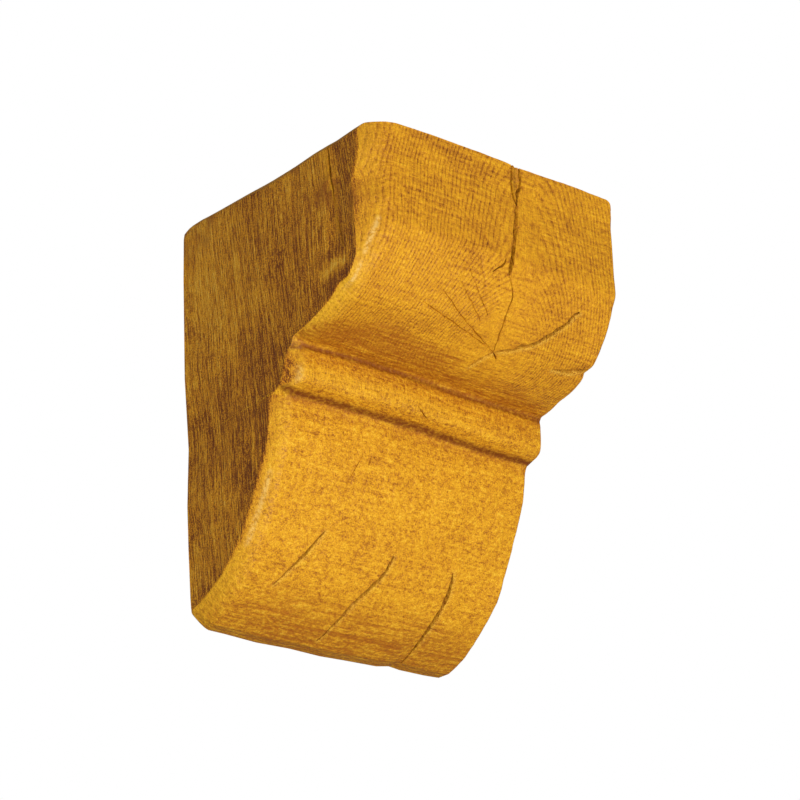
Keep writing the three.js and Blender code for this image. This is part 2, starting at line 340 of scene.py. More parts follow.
# drying checks, each through points across and down in metres, cut as ragged wedges, with lip as the strength
# of a painted highlight along a check's lower right side
pith = (0.0176, 0.0839)
fork = (0.0116, 0.0204)
checkValues = {
    "front": [
        {"run": [(0.0124, -0.003), (0.0142, 0.0092), (0.0128, 0.0136), fork],
         "wide": 0.0019, "deep": 0.0035, "dark": 0.9},
        {"run": [(0.0084, -0.003), (0.0088, 0.0103), (0.0098, 0.0156), fork],
         "wide": 0.0015, "deep": 0.0035, "dark": 0.85},
        {"run": [(0.0108, -0.003), (0.0115, 0.006), (0.0115, 0.016)],
         "wide": 0.0042, "deep": 0.0012, "dark": 0.45},
        {"run": [fork, (0.0100, 0.032), (0.0083, 0.0418)], "wide": 0.0022, "deep": 0.0024, "dark": 0.75},
        {"run": [(0.0086, 0.040), (0.0073, 0.0487), (0.0074, 0.0562)],
         "wide": 0.0030, "deep": 0.008, "dark": 1.0},
        {"run": [(0.0076, 0.0565), (0.0122, 0.063), (0.0130, 0.070), (0.0146, 0.0775), pith],
         "wide": 0.0008, "deep": 0.0012, "dark": 0.55},
        {"run": [pith, (0.0341, 0.0786), (0.0450, 0.0717), (0.0554, 0.0614)],
         "wide": 0.0022, "deep": 0.0034, "dark": 0.80, "lip": 0.8, "wander": 0.0011},
        {"run": [pith, (-0.0078, 0.0798), (-0.0370, 0.0747)], "wide": 0.0006, "deep": 0.0006, "dark": 0.30},
        {"run": [pith, (-0.0010, 0.0792), (-0.0129, 0.0752), (-0.0277, 0.0690)],
         "wide": 0.0007, "deep": 0.0007, "dark": 0.35},
        {"run": [(0.0008, 0.0759), (-0.0102, 0.0698), (-0.0205, 0.0634)],
         "wide": 0.0006, "deep": 0.0006, "dark": 0.32},
        {"run": [(0.0027, 0.0730), (-0.0077, 0.0658), (-0.0186, 0.0565)],
         "wide": 0.0006, "deep": 0.0006, "dark": 0.30},
        {"run": [(-0.0029, 0.0660), (-0.0092, 0.0570), (-0.0134, 0.0482)],
         "wide": 0.0005, "deep": 0.0004, "dark": 0.20},
        {"run": [pith, (0.0142, 0.0869), (0.0122, 0.0895)],
         "wide": 0.0013, "deep": 0.002, "dark": 0.55, "lip": 0.8},
        {"run": [pith, (0.0200, 0.0847), (0.0225, 0.0855)], "wide": 0.0008, "deep": 0.0014, "dark": 0.5},
        {"run": [(0.0558, 0.0832), (0.0660, 0.0822), (0.0800, 0.0790)],
         "wide": 0.0020, "deep": 0.003, "dark": 0.6, "lip": 0.9},
        {"run": [(0.0036, 0.0496), (0.0025, 0.0526), (-0.0030, 0.0569)],
         "wide": 0.0011, "deep": 0.0022, "dark": 0.9},
        {"run": [(-0.0377, 0.1646), (-0.0433, 0.1736), (-0.0537, 0.1882)],
         "wide": 0.0015, "deep": 0.0020, "dark": 0.90, "lip": 0.7},
        {"run": [(0.0050, 0.1685), (0.0023, 0.1772), (-0.0061, 0.1888), (-0.0120, 0.2023)],
         "wide": 0.0018, "deep": 0.0024, "dark": 0.90, "lip": 0.6},
        {"run": [(0.0430, 0.1695), (0.0452, 0.1780), (0.0440, 0.1918), (0.0446, 0.207)],
         "wide": 0.0024, "deep": 0.0040, "dark": 0.90, "lip": 0.6},
        {"run": [(-0.0268, 0.1303), (-0.0330, 0.1444)], "wide": 0.0006, "deep": 0.0009, "dark": 0.35},
        {"run": [(-0.0220, 0.1303), (-0.0225, 0.1340)], "wide": 0.0006, "deep": 0.0009, "dark": 0.35},
        {"run": [(-0.0048, 0.1074), (-0.0012, 0.1098), (0.0037, 0.1117)],
         "wide": 0.0007, "deep": 0.0012, "dark": 0.5},
    ],
    "side": [
        {"run": [(0.1112, -0.003), (0.1118, 0.010), (0.1128, 0.020), (0.1148, 0.036)],
         "wide": 0.0018, "deep": 0.004, "dark": 1.0},
        {"run": [(0.1150, 0.037), (0.1172, 0.047), (0.1204, 0.057)],
         "wide": 0.0012, "deep": 0.0025, "dark": 0.9},
    ],
    # lip points sit beside each check on its lower right side, where the lip amount paints a highlight
    "lipWay": Vector((0.6, 0, -0.8)), "lipOut": 0.0005,
    "steps": 48, "lift": 0.002, "wander": 0.0004, "wanderSize": 0.004,
    "endWidth": 0.12, "taper": 0.7, "widthWander": 0.45,
}


def onFront(x, drop):
    depth = np.interp(drop, rowDrop, rowDepth) + profileValues["crown"] * (1 - (2 * x / width) ** 2)
    row = int(np.clip(np.searchsorted(rowDrop, drop), 0, len(rowDrop) - 1))
    return Vector((x, -depth, topZ - climbed(x, drop))), Vector((0, -rowOut[row, 0], -rowOut[row, 1]))


def onSide(depth, drop):
    return Vector((-width / 2, -depth, topZ - drop)), Vector((-1, 0, 0))


def smoothPath(points, count):
    points = np.array(points)
    padded = np.concatenate([[2 * points[0] - points[1]], points, [2 * points[-1] - points[-2]]])
    path = []
    for t in np.linspace(0, len(points) - 1, count + 1):
        n = min(int(t), len(points) - 2)
        f = t - n
        p0, p1, p2, p3 = padded[n:n + 4]
        path.append(0.5 * (2 * p1 + (p2 - p0) * f + (2 * p0 - 5 * p1 + 4 * p2 - p3) * f ** 2
                           + (3 * p1 - p0 - 3 * p2 + p3) * f ** 3))
    return path


def makeCutter(check, place, number):
    v = checkValues
    spots = [place(*p) for p in smoothPath(check["run"], v["steps"])]
    verts, faces, lips = [], [], []
    for n, (point, out) in enumerate(spots):
        along = spots[min(n + 1, v["steps"])][0] - spots[max(n - 1, 0)][0]
        sideways = along.cross(out).normalized()
        swell = math.sin(math.pi * (0.05 + 0.9 * n / v["steps"])) ** v["taper"]
        share = v["endWidth"] + (1 - v["endWidth"]) * swell
        share *= 1 + v["widthWander"] * noise.noise(point / v["wanderSize"] + Vector((number, 0, 0)))
        stray = noise.noise(point / v["wanderSize"] + Vector((0, number, 5)))
        point = point + sideways * check.get("wander", v["wander"]) * stray
        half = check["wide"] * share / 2 * (1 + v["lift"] / (check["deep"] * share))
        top = point + out * v["lift"]
        below = sideways if sideways.dot(v["lipWay"]) > 0 else -sideways
        lips.append(point + below * (check["wide"] * share / 2 + v["lipOut"]))
        verts += [top + sideways * half, point - out * check["deep"] * share, top - sideways * half]
    for n in range(v["steps"]):
        a = 3 * n
        for b, c in ((0, 1), (1, 2), (2, 0)):
            faces.append((a + b, a + c, a + 3 + c, a + 3 + b))
    faces += [(2, 1, 0), (3 * v["steps"], 3 * v["steps"] + 1, 3 * v["steps"] + 2)]
    mesh = bpy.data.meshes.new("checkCutter")
    mesh.from_pydata([tuple(p) for p in verts], [], faces)
    body = bmesh.new()
    body.from_mesh(mesh)
    bmesh.ops.triangulate(body, faces=body.faces)
    bmesh.ops.recalc_face_normals(body, faces=body.faces)
    body.to_mesh(mesh)
    body.free()
    cutter = bpy.data.objects.new("checkCutter", mesh)
    bpy.context.collection.objects.link(cutter)
    return cutter, [p for p, out in spots], verts[1::3], lips


def cutChecks(block):
    runs = [(c, onFront) for c in checkValues["front"]] + [(c, onSide) for c in checkValues["side"]]
    made = [makeCutter(check, place, n) for n, (check, place) in enumerate(runs)]
    for cutter, *lines in made:
        boolean = block.modifiers.new("check", "BOOLEAN")
        boolean.operation = "DIFFERENCE"
        boolean.solver = "MANIFOLD"
        boolean.object = cutter
    graph = bpy.context.evaluated_depsgraph_get()
    cut = bpy.data.meshes.new_from_object(block.evaluated_get(graph))
    old = block.data
    block.modifiers.clear()
    block.data = cut
    bpy.data.meshes.remove(old)
    for cutter, *lines in made:
        mesh = cutter.data
        bpy.data.objects.remove(cutter)
        bpy.data.meshes.remove(mesh)
    return [[(p, check) for (check, place), lines in zip(runs, made) for p in lines[n]] for n in (1, 2, 3)]


def nearest(points, targets):
    tree = kdtree.KDTree(len(targets))
    for n, target in enumerate(targets):
        tree.insert(target, n)
    tree.balance()
    found = [tree.find(p) for p in points]
    return np.array([f[2] for f in found]), np.array([f[1] for f in found])


# stain, grooves, checks, arrises partly worn and with painted highlights, painted highlights on check lips,
# painted shade and light on the sides and ovolo, and the lower block, kept on the mesh
toneValues = {
    "underFrom": (-0.077, -0.059, -0.043, -0.005, 0.016, 0.037, 0.077),
    "underDrop": (0.0872, 0.0862, 0.0850, 0.0862, 0.0888, 0.0900, 0.0912),
    "underFade": 0.0020, "underEnd": 0.0958, "underEndFade": 0.0008, "underAmount": 0.80,
    "ragged": 0.0016, "raggedSize": 0.009,
    "pools": [  # drop, reach above, reach below, amount
        (0.0964, 0.0010, 0.0055, 0.42),
        (0.1150, 0.0010, 0.0040, 0.50),
    ],
    # dark bands in the upper and lower quirks: stain and painted shade
    "upperGroove": (0.0934, 0.0960, 0.0011, 0.78),  # drop from, drop to, soft edge, amount
    "lowerGroove": (0.0710, 0.0752, 0.0024, 1.00),  # the same by depth
    "lowerGrooveDrop": (0.1108, 0.1150, 0.0012),
    "footFrom": 0.1840, "footTo": 0.1995, "footAmount": 0.90,
    "footAcross": (-0.077, -0.040, 0.077), "footShare": (0.30, 1, 0.85),
    "checkHalo": 0.0011, "haloWide": 0.3, "haloAmount": 0.48, "lipHighlightReach": 0.0010, "lipHighlightAmount": 0.90,
    "rootReach": 0.00001, "glintEnds": 0.003,
    # painted highlights: pale glint lines along the left arris, the bead end and the lower arris
    "glints": [  # points as drop and distance from the side, reach, amount
        ([(0.047, 0.0073), (0.057, 0.0050), (0.0635, 0.0035)], 0.0008, 0.95),
        ([(0.0675, 0.0030), (0.0755, 0.0026)], 0.0007, 0.90),
        ([(0.1035, 0.0036), (0.1105, 0.0040)], 0.0012, 0.90),
        ([(0.145, 0.0027), (0.160, 0.0027), (0.175, 0.0024)], 0.0008, 0.70),
    ],
    # painted highlight along the bead's lower edge, and a lighter band down the left arris that is partly
    # worn wood and partly painted highlight, stronger on the ovolo and at the toe
    "beadGlow": (0.1032, 0.1098, 0.0030, 0.38), "glowAcross": (-0.070, 0, 0.050), "glowShare": (1, 0.8, 0.15),
    "highlightAcross": 0.010, "highlightAmount": 0.38,
    "highlightDrop": (0.056, 0.066, 0.094, 0.100, 0.175, 0.190), "highlightShare": (1, 2.4, 2.4, 1, 1, 1.6),
    "lowerFrom": (0.1150, 0.1200), "bareFrom": (0.0900, 0.0955),
    # painted light on the upper ovolo, strongest on the left, and on the upper right of the fascia
    "lightDrop": (0.046, 0.058, 0.072, 0.084), "lightAcross": (-0.077, -0.060, 0.000, 0.030),
    "lightShare": (0.6, 1, 1, 0.3),
    "rightLight": (0.020, 0.060), "rightLightDrop": (0.045, 0.062),
    # how far a surface leans sideways before it counts as a side, by drop
    "flankDropTurn": (0.170, 0.188), "flankFrom": (0.72, 0.84), "flankFade": 0.16, "backTurn": 0.3,
    "shadeDepth": (0.1100, 0.1150, 0.1280, 0.1400), "shadeDrop": (0.055, 0.075), "shadeAmount": 0.75,
    "frontShade": 0.026, "frontShadeFrom": 0.008, "frontShadeDrop": (0.050, 0.075), "frontShadeAmount": 1.15,
    # painted shade on the left side by drop and at spots, with painted light where an amount is negative
    "flankDrop": (0.060, 0.110, 0.128, 0.160, 0.180), "flankShade": (-0.14, -0.14, 0.30, 0.30, -0.14),
    "flankSpots": [  # depth and drop, reach, amount
        ((0.087, 0.052), 0.021, 1.05), ((0.068, 0.085), 0.018, 0.65), ((0.104, 0.070), 0.014, 0.60),
        ((0.066, 0.008), 0.014, 0.90), ((0.004, 0.102), 0.024, 0.80), ((0.046, 0.108), 0.020, 0.50),
        ((0.046, 0.135), 0.012, 0.30), ((0.022, 0.030), 0.024, -0.60), ((0.030, 0.050), 0.014, -0.30),
        ((0.004, 0.006), 0.012, -0.50), ((0.020, 0.182), 0.028, -0.40), ((0.044, 0.156), 0.014, -0.35),
    ],
    "chip": (0.0008, 0.0668, 0.0016, 0.80),  # distance from the side, drop, reach, amount
    "torn": [((0.1190, 0.0640), 0.0038), ((0.1135, 0.0640), 0.0038), ((0.1080, 0.0655), 0.0030)],
    "tornShade": [((0.1255, 0.0640), 0.0045), ((0.1180, 0.0715), 0.0050), ((0.1090, 0.0700), 0.0055),
                  ((0.1060, 0.0580), 0.0050), ((0.1150, 0.0560), 0.0050)],
    "tornShadeAmount": 1.3,
}


def between(value, low, high, edge):
    return np.clip((value - low) / edge + 0.5, 0, 1) * np.clip((high - value) / edge + 0.5, 0, 1)


def paintTones(block, rims, roots, lips):
    v = toneValues
    mesh = block.data
    points = np.empty(len(mesh.vertices) * 3)
    normals = np.empty(len(mesh.vertices) * 3)
    mesh.vertices.foreach_get("co", points)
    mesh.vertices.foreach_get("normal", normals)
    points, normals = points.reshape(-1, 3), normals.reshape(-1, 3)
    x, depth, drop = points[:, 0], -points[:, 1], topZ - points[:, 2]
    drop = beforeClimb(x, drop)
    fromLeft = x + width / 2
    turned = np.interp(drop, v["flankDropTurn"], v["flankFrom"])
    flank = np.clip((np.abs(normals[:, 0]) - turned) / v["flankFade"], 0, 1)
    face = (1 - flank) * (normals[:, 1] < v["backTurn"])
    wander = np.array([noise.noise(Vector((p / v["raggedSize"], 0, 7.3))) for p in x])
    start = np.interp(x, v["underFrom"], v["underDrop"]) + v["ragged"] * wander
    under = np.clip((drop - start) / v["underFade"], 0, 1)
    under = under * np.clip((v["underEnd"] - drop) / v["underEndFade"], 0, 1)
    pool = v["underAmount"] * under
    for at, above, below, amount in v["pools"]:
        gap = drop - at
        pool = np.maximum(pool, amount * np.exp(-(gap / np.where(gap < 0, above, below)) ** 2))
    foot = np.clip((drop - v["footFrom"] - v["ragged"] * wander) / (v["footTo"] - v["footFrom"]), 0, 1)
    foot = foot * np.interp(x, v["footAcross"], v["footShare"])
    pool = np.maximum(pool, v["footAmount"] * foot) * face
    chipAt, chipDrop, reach, amount = v["chip"]
    chip = np.exp(-((fromLeft - chipAt) ** 2 + (drop - chipDrop) ** 2) / reach ** 2)
    pool = np.maximum(pool, amount * chip * face)
    away, which = nearest(points, [p for p, check in rims])
    wide = np.array([check["wide"] for p, check in rims])[which]
    dark = np.array([check["dark"] for p, check in rims])[which]
    halo = np.exp(-(away / (v["checkHalo"] + v["haloWide"] * wide)) ** 2)
    pool = np.maximum(pool, v["haloAmount"] * dark * halo)
    away, which = nearest(points, [p for p, check in roots])
    check = (away < v["rootReach"]) * np.array([check["dark"] for p, check in roots])[which]
    # painted highlight on the lower right lip of some checks
    away, which = nearest(points, [p for p, check in lips])
    lip = np.exp(-(away / v["lipHighlightReach"]) ** 2) * np.array([check.get("lip", 0) for p, check in lips])[which]
    lip = v["lipHighlightAmount"] * lip * (1 - check)
    # the two quirks darkened, partly stain and partly painted shade
    first, last, edge, amount = v["upperGroove"]
    groove = amount * between(drop, first, last, edge)
    first, last, edge, amount = v["lowerGroove"]
    flat = depth - profileValues["crown"] * (1 - (2 * x / width) ** 2)
    lowerGroove = between(flat, first, last, edge) * between(drop, *v["lowerGrooveDrop"])
    groove = np.maximum(groove, amount * lowerGroove)
    # painted highlight lines along the left arris
    paintedGlint = np.zeros(len(x))
    for path, reach, amount in v["glints"]:
        drops, offsets = zip(*path)
        line = np.exp(-((fromLeft - np.interp(drop, drops, offsets)) / reach) ** 2)
        paintedGlint = np.maximum(paintedGlint, amount * line * between(drop, drops[0], drops[-1], v["glintEnds"]))
    # lighter band down the left arris, partly worn wood and partly painted highlight, with a painted
    # highlight along the bead
    wearAndHighlight = v["highlightAmount"] * np.clip(1 - fromLeft / v["highlightAcross"], 0, 1)
    wearAndHighlight = wearAndHighlight * np.interp(drop, v["highlightDrop"], v["highlightShare"])
    first, last, edge, amount = v["beadGlow"]
    glow = amount * between(drop, first, last, edge) * np.interp(x, v["glowAcross"], v["glowShare"])
    wearAndHighlight = np.maximum(wearAndHighlight, glow)
    lower = np.interp(drop, v["lowerFrom"], (0, 1))
    bare = np.interp(drop, v["bareFrom"], (0, 1))
    # painted light on the upper ovolo and on the upper right of the fascia
    paintedLight = np.interp(drop, v["lightDrop"], (0, 1, 1, 0)) * np.interp(x, v["lightAcross"], v["lightShare"])
    right = np.interp(x, v["rightLight"], (0, 1)) * np.interp(drop, v["rightLightDrop"], (1, 0))
    paintedLight = np.maximum(paintedLight, right)
    strip = np.interp(depth, v["shadeDepth"], (0, 1, 1, 0)) * np.interp(drop, v["shadeDrop"], (1, 0))
    behind = np.interp(drop, rowDrop, rowDepth) - v["frontShadeFrom"] - depth
    toFront = np.clip(1 - behind / v["frontShade"], 0, 1) * np.interp(drop, v["frontShadeDrop"], (0, 1))
    shade = np.maximum(v["shadeAmount"] * strip, v["frontShadeAmount"] * toFront)

    def spot(at, reach):
        return np.exp(-((depth - at[0]) ** 2 + (drop - at[1]) ** 2) / reach ** 2) * (x < 0)

    # painted shade on the left side, and painted light where an amount is negative
    shade = shade + np.interp(drop, v["flankDrop"], v["flankShade"])
    shade = (shade + sum(amount * spot(at, reach) for at, reach, amount in v["flankSpots"])) * flank * (x < 0)
    torn = np.max([spot(*t) for t in v["torn"]], axis=0)
    ringed = np.max([spot(*t) for t in v["tornShade"]], axis=0) * flank
    shade = shade + ringed * (v["tornShadeAmount"] - shade)
    layers = {"pooled": pool, "grooveStainShade": groove * face, "checked": check, "lip": lip, "glinted": paintedGlint * face,
              "wearAndHighlight": wearAndHighlight * face, "flank": flank, "lower": lower * face, "bare": bare * face,
              "paintedLight": paintedLight * face, "shaded": shade, "torn": torn}
    for name, values in layers.items():
        layer = mesh.attributes.new(name, "FLOAT", "POINT")
        layer.data.foreach_set("value", values.astype(np.float32))


block = makeBlock()
print("block faces:", len(block.data.polygons))
checkLines = cutChecks(block)
print("checks cut:", len(checkValues["front"]) + len(checkValues["side"]))
paintTones(block, *checkLines)
block.data.polygons.foreach_set("use_smooth", [True] * len(block.data.polygons))
block.data.set_sharp_from_angle(angle=math.radians(meshValues["sharpAngle"]))
block.data.update()
block.data.calc_loop_triangles()
print("corbel triangles:", len(block.data.loop_triangles))

# grain and stain of the timber, with painted highlights, painted shade and a painted sheen, lengths in metres
# and colours linear
woodValues = {
    "pith": (0.0176, -0.1137, 0.0187), "lean": (-9.0, 1.0),  # degrees back and sideways
    "ringPitch": 0.00172, "ringWarp": 0.005, "ringBend": 18,
    "flankLean": -5.0, "flankSway": 0.010,
    "bump": 1.0, "bumpDistance": 0.0006,
    "roughness": (0.48, 0.68), "specular": 0.24, "toneRange": 0.8,
    "clouds": {  # stretch, scale, detail, roughness
        "fibre": ((1, 1, 0.10), 1300, 2.0, 0.6), "fleck": ((0.7, 1, 1), 640, 2.0, 0.6),
        "grit": ((1, 1, 1), 1700, 1.0, 0.6), "patch": ((0.8, 1, 1), 290, 2.0, 0.6),
        "blotch": ((1, 1, 1), 34, 3.0, 0.55), "mottle": ((1, 1, 1), 130, 3.0, 0.6),
        "stroke": ((0.05, 1, 1), 610, 3.0, 0.6), "strokeRoom": ((0.5, 1, 1), 45, 2.0, 0.55),
        "drawn": ((1, 1, 0.03), 1150, 2.0, 0.6), "nicks": ((1, 1, 0.12), 1700, 1.0, 0.6),
        "scores": ((1, 1, 0.02), 1000, 1.0, 0.5), "scoreRoom": ((1, 1, 0.5), 60, 2.0, 0.55),
        "redRoom": ((1, 1, 0.6), 70, 3.0, 0.55),
    },
    "pebbles": {"Scale": 620, "Smoothness": 0.35, "Randomness": 0.9},
    "frontTone": 0.67,
    "frontAmounts": {  # on the fascia and ovolo, and how much more below them
        "evenFleck": (0.20, 0.16), "evenGrit": (0.27, 0.26), "patch": (0.24, 0.22),
        "blotch": (0.26, 0), "mottle": (0.34, 0.06),
    },
    "frontFibre": (0.75, -0.55), "frontPebble": (-0.14, 0.06),  # the same, more on the lower block
    "frontStroke": (0.25, 0.75), "frontRings": -0.26,
    # the lower block is a lighter tone; the other mask adds painted light on the upper ovolo and the right
    # fascia
    "frontMasks": {"lower": 0.03, "paintedLight": 0.05},
    "sideTone": 0.51,
    "sideAmounts": {"drawn": 1.8, "nicks": 1.6, "grit": 2.0, "blotch": 0.60, "mottle": 0.55},
    "sideScores": 0.26, "sideMasks": {"shaded": -0.26, "torn": 0.85},
    "frontLift": {"fibre": 0.3, "rings": -0.25, "fleck": 0.9, "pebble": -0.35, "stroke": 0.5},
    "sideLift": {"drawn": 0.8, "nicks": 0.35},
    "tones": [
        (0.00, (0.185, 0.050, 0.004)),
        (0.20, (0.420, 0.142, 0.007)),
        (0.40, (0.640, 0.262, 0.010)),
        (0.60, (0.815, 0.374, 0.010)),
        (0.80, (0.930, 0.490, 0.022)),
        (1.00, (0.980, 0.620, 0.060)),
    ],
    # the quirk colour is stain with painted shade; the pale cream, golden arris and lip colours are painted
    # highlights, the golden arris one partly worn wood; the side tint is a painted grey sheen
    "stain": (0.395, 0.110, 0.004), "grooveStainShadeColour": (0.200, 0.048, 0.002), "deepStain": (0.120, 0.032, 0.006),
    "paintedGlint": (0.950, 0.600, 0.170), "wearAndHighlight": (0.920, 0.500, 0.024),
    "lip": (0.950, 0.560, 0.070), "redPatch": (0.360, 0.105, 0.010), "sideSheenTint": (1.05, 0.98, 1.30),
}


class NodeBench:
    def __init__(self, tree):
        self.tree = tree
        self.column = 0

    def add(self, kind, settings=None, **inputs):
        node = self.tree.nodes.new(kind)
        self.column += 1
        node.location = (180 * (self.column % 12), -220 * (self.column // 12))
        for name, value in (settings or {}).items():
            setattr(node, name, value)
        for name, value in inputs.items():
            self.plug(node.inputs[int(name[1:]) if name[0] == "_" else name], value)
        return node

    def plug(self, socket, value):
        if isinstance(value, bpy.types.NodeSocket):
            self.tree.links.new(value, socket)
        else:
            socket.default_value = value

    def math(self, operation, a, b=0.0, c=0.0):
        return self.add("ShaderNodeMath", {"operation": operation}, _0=a, _1=b, _2=c).outputs[0]

    def span(self, value, low, high, toLow=0.0, toHigh=1.0):
        node = self.add("ShaderNodeMapRange", {"interpolation_type": "SMOOTHSTEP"}, Value=value)
        for name, number in (("From Min", low), ("From Max", high), ("To Min", toLow), ("To Max", toHigh)):
            node.inputs[name].default_value = number
        return node.outputs[0]

    def cloud(self, vector, scale, detail=3.0, roughness=0.55, output="Fac"):
        node = self.add("ShaderNodeTexNoise", None, Vector=vector)
        for name, number in (("Scale", scale), ("Detail", detail), ("Roughness", roughness)):
            node.inputs[name].default_value = number
        return node.outputs[output]

    def stretch(self, vector, scale, turn=(0, 0, 0)):
        node = self.add("ShaderNodeMapping", {"vector_type": "TEXTURE"}, Vector=vector)
        node.inputs["Scale"].default_value = [1 / n for n in scale]
        node.inputs["Rotation"].default_value = [math.radians(t) for t in turn]
        return node.outputs[0]

    def swing(self, value, amount, onto):
        return self.math("MULTIPLY_ADD", self.math("SUBTRACT", value, 0.5), amount, onto)

    def blend(self, amount, a, b, mode="MIX"):
        node = self.add("ShaderNodeMix", {"data_type": "RGBA", "blend_type": mode})
        self.plug(node.inputs[0], amount)
        self.plug(node.inputs[6], a if not isinstance(a, tuple) else (*a, 1))
        self.plug(node.inputs[7], b if not isinstance(b, tuple) else (*b, 1))
        return node.outputs[2]

    def mix(self, amount, a, b):
        node = self.add("ShaderNodeMix", {"data_type": "FLOAT"})
        self.plug(node.inputs[0], amount)
        self.plug(node.inputs[2], a)
        self.plug(node.inputs[3], b)
        return node.outputs[0]

    def painted(self, name):
        return self.add("ShaderNodeAttribute", {"attribute_name": name}).outputs["Fac"]


def stainedWood():
    v = woodValues
    material = bpy.data.materials.new("stainedWood")
    material.use_nodes = True
    tree = material.node_tree
    shader = tree.nodes["Principled BSDF"]
    bench = NodeBench(tree)
    place = bench.add("ShaderNodeTexCoord").outputs["Object"]
    grain = bench.add("ShaderNodeMapping", {"vector_type": "TEXTURE"}, Vector=place)
    grain.inputs["Location"].default_value = v["pith"]
    grain.inputs["Rotation"].default_value = (math.radians(v["lean"][0]), math.radians(v["lean"][1]), 0)
    grain = grain.outputs[0]
    flank, lower, bare = bench.painted("flank"), bench.painted("lower"), bench.painted("bare")

    # year rings round the pith, faint close to it and below the ovolo
    sway = bench.cloud(grain, v["ringBend"], 2.0, 0.5, "Color")
    sway = bench.add("ShaderNodeVectorMath", {"operation": "SUBTRACT"},
                     _0=sway, _1=(0.5, 0.5, 0.5)).outputs[0]
    swayed = bench.add("ShaderNodeVectorMath", {"operation": "MULTIPLY_ADD"},
                       _0=sway, _1=(v["ringWarp"],) * 3, _2=grain).outputs[0]
    flat = bench.add("ShaderNodeVectorMath", {"operation": "MULTIPLY"}, _0=swayed, _1=(1, 1, 0)).outputs[0]
    radius = bench.add("ShaderNodeVectorMath", {"operation": "LENGTH"}, _0=flat).outputs["Value"]
    jitter = bench.cloud(bench.stretch(grain, (1, 1, 0.15)), 160, 2.0)
    turns = bench.math("MULTIPLY_ADD", jitter, 0.9, bench.math("DIVIDE", radius, v["ringPitch"]))
    phase = bench.math("FRACT", turns)
    late = bench.math("MULTIPLY", bench.span(phase, 0.45, 0.78), bench.span(phase, 1.0, 0.90))
    broken = bench.span(bench.cloud(bench.stretch(grain, (1, 1, 0.35)), 420, 3.0), 0.30, 0.60, 0.25, 1.0)
    rings = bench.math("MULTIPLY", late, broken)
    offset = bench.math("ABSOLUTE", bench.add("ShaderNodeSeparateXYZ", None, Vector=grain).outputs["X"])
    rings = bench.math("MULTIPLY", rings, bench.span(radius, 0.012, 0.030, 0.2, 1.0))
    rings = bench.math("MULTIPLY", rings, bench.span(offset, 0.002, 0.016, 0.40, 1.0))
    rings = bench.math("MULTIPLY", rings, bench.math("MULTIPLY_ADD", bare, -0.8, 1.0))
    rings = bench.math("MULTIPLY", rings, bench.math("SUBTRACT", 1.0, flank))

    # fibres, flecks, pebbled tooth, saw strokes across the front and drawn grain down the sides
    def cloud(name, vector, turn=(0, 0, 0)):
        stretch, *settings = v["clouds"][name]
        return bench.cloud(bench.stretch(vector, stretch, turn), *settings)

    fibre = cloud("fibre", grain)
    fleck, grit, patch = cloud("fleck", place), cloud("grit", place), cloud("patch", place)
    blotch, mottle = cloud("blotch", place), cloud("mottle", place)
    pebble = bench.add("ShaderNodeTexVoronoi", {"feature": "SMOOTH_F1"},
                       Vector=bench.stretch(place, (0.8, 1, 0.7)))
    for name, number in v["pebbles"].items():
        pebble.inputs[name].default_value = number
    pebble = pebble.outputs["Distance"]
    stroke = cloud("stroke", place)
    strokeRoom = bench.span(cloud("strokeRoom", place), 0.40, 0.62)
    drift = bench.add("ShaderNodeVectorMath", {"operation": "SUBTRACT"},
                      _0=bench.cloud(place, 16, 1.0, 0.5, "Color"), _1=(0.5, 0.5, 0.5)).outputs[0]
    drift = bench.add("ShaderNodeVectorMath", {"operation": "MULTIPLY_ADD"},
                      _0=drift, _1=(0, v["flankSway"], 0), _2=place).outputs[0]
    leaning = (v["flankLean"], 0, 0)
    drawn, nicks = cloud("drawn", drift, leaning), cloud("nicks", drift, leaning)
    scores = bench.span(cloud("scores", drift, leaning), 0.56, 0.68)
    scores = bench.math("MULTIPLY", scores, bench.span(cloud("scoreRoom", place), 0.40, 0.60))

    textures = {
        "fibre": fibre, "fleck": fleck, "grit": grit, "patch": patch, "blotch": blotch, "mottle": mottle,
        "evenFleck": bench.span(fleck, 0.30, 0.70), "evenGrit": bench.span(grit, 0.25, 0.75),
        "rings": rings, "pebble": pebble, "stroke": stroke, "drawn": drawn, "nicks": nicks,
    }

    def grown(mask, amount, more):
        return bench.math("MULTIPLY_ADD", mask, more, amount)

    front = v["frontTone"]
    for name, amounts in v["frontAmounts"].items():
        front = bench.swing(textures[name], grown(bare, *amounts), front)
    front = bench.swing(fibre, grown(lower, *v["frontFibre"]), front)
    front = bench.math("MULTIPLY_ADD", rings, v["frontRings"], front)
    front = bench.math("MULTIPLY_ADD", pebble, grown(lower, *v["frontPebble"]), front)
    front = bench.swing(stroke, grown(strokeRoom, *v["frontStroke"]), front)
    for name, amount in v["frontMasks"].items():
        front = bench.math("MULTIPLY_ADD", bench.painted(name), amount, front)
    side = v["sideTone"]
    for name, amount in v["sideAmounts"].items():
        side = bench.swing(textures[name], amount, side)
    side = bench.math("MULTIPLY_ADD", scores, v["sideScores"], side)
    for name, amount in v["sideMasks"].items():
        side = bench.math("MULTIPLY_ADD", bench.painted(name), amount, side)
    tone = bench.mix(flank, front, side)
    ramp = bench.add("ShaderNodeValToRGB", None, Fac=bench.math("MULTIPLY", tone, v["toneRange"]))
    stops = ramp.color_ramp.elements
    while len(stops) < len(v["tones"]):
        stops.new(0.5)
    for stop, (position, colour) in zip(stops, v["tones"]):
        stop.position = position
        stop.color = (*colour, 1)

    # bluish tint over the sides, a painted grey sheen
    colour = bench.blend(flank, ramp.outputs[0], v["sideSheenTint"], "MULTIPLY")
